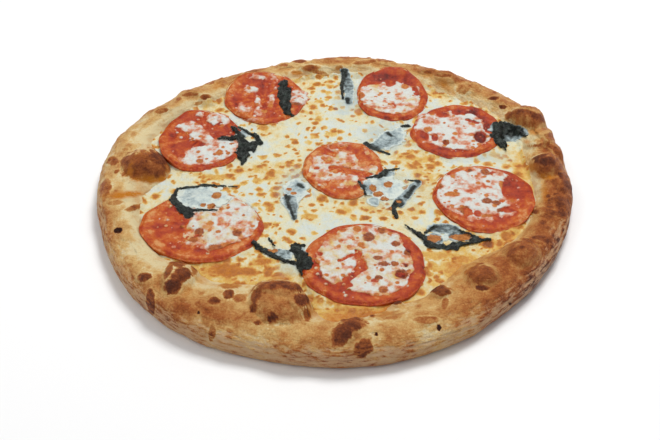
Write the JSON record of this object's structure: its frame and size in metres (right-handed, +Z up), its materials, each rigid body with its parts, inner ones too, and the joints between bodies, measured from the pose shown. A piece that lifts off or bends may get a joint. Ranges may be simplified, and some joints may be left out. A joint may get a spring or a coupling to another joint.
{
  "type": "margherita pizza",
  "caption": "Whole baked round pizza with a puffed blistered rim, melted cheese, tomato slices under melted cheese and wilted basil leaves.",
  "frame": {"origin": "on the resting plane under the middle of the crust", "axes": "+Z up through the toppings, -Y towards a diner, +X to the diner's right"},
  "size_m": [0.3095, 0.307, 0.0234],
  "materials": {
    "crust": "baked wheat dough: golden tan to dark brown blisters, dull, dusted with flour on its outer wall",
    "cheese": "melted mozzarella, pale cream with golden and brown toasted spots, slightly oily",
    "tomato": "baked tomato flesh, moist, orange red with a darker skin at its edge",
    "basil": "wilted basil, near-black green, thin and crumpled"
  },
  "bodies": {
    "root": {"crust": "crust", "cheese": "cheese", "tomato_1": "tomato", "tomato_2": "tomato", "tomato_3": "tomato", "tomato_4": "tomato", "tomato_5": "tomato", "tomato_6": "tomato", "tomato_7": "tomato", "tomato_8": "tomato", "melt_1": "cheese", "melt_2": "cheese", "melt_3": "cheese", "melt_4": "cheese", "melt_5": "cheese", "melt_6": "cheese", "melt_7": "cheese", "melt_8": "cheese", "basil_1": "basil", "basil_2": "basil", "basil_3": "basil", "basil_4": "basil", "basil_5": "basil", "basil_6": "basil", "basil_7": "basil", "basil_8": "basil", "basil_9": "basil", "basil_10": "basil"}
  },
  "joints": []
}
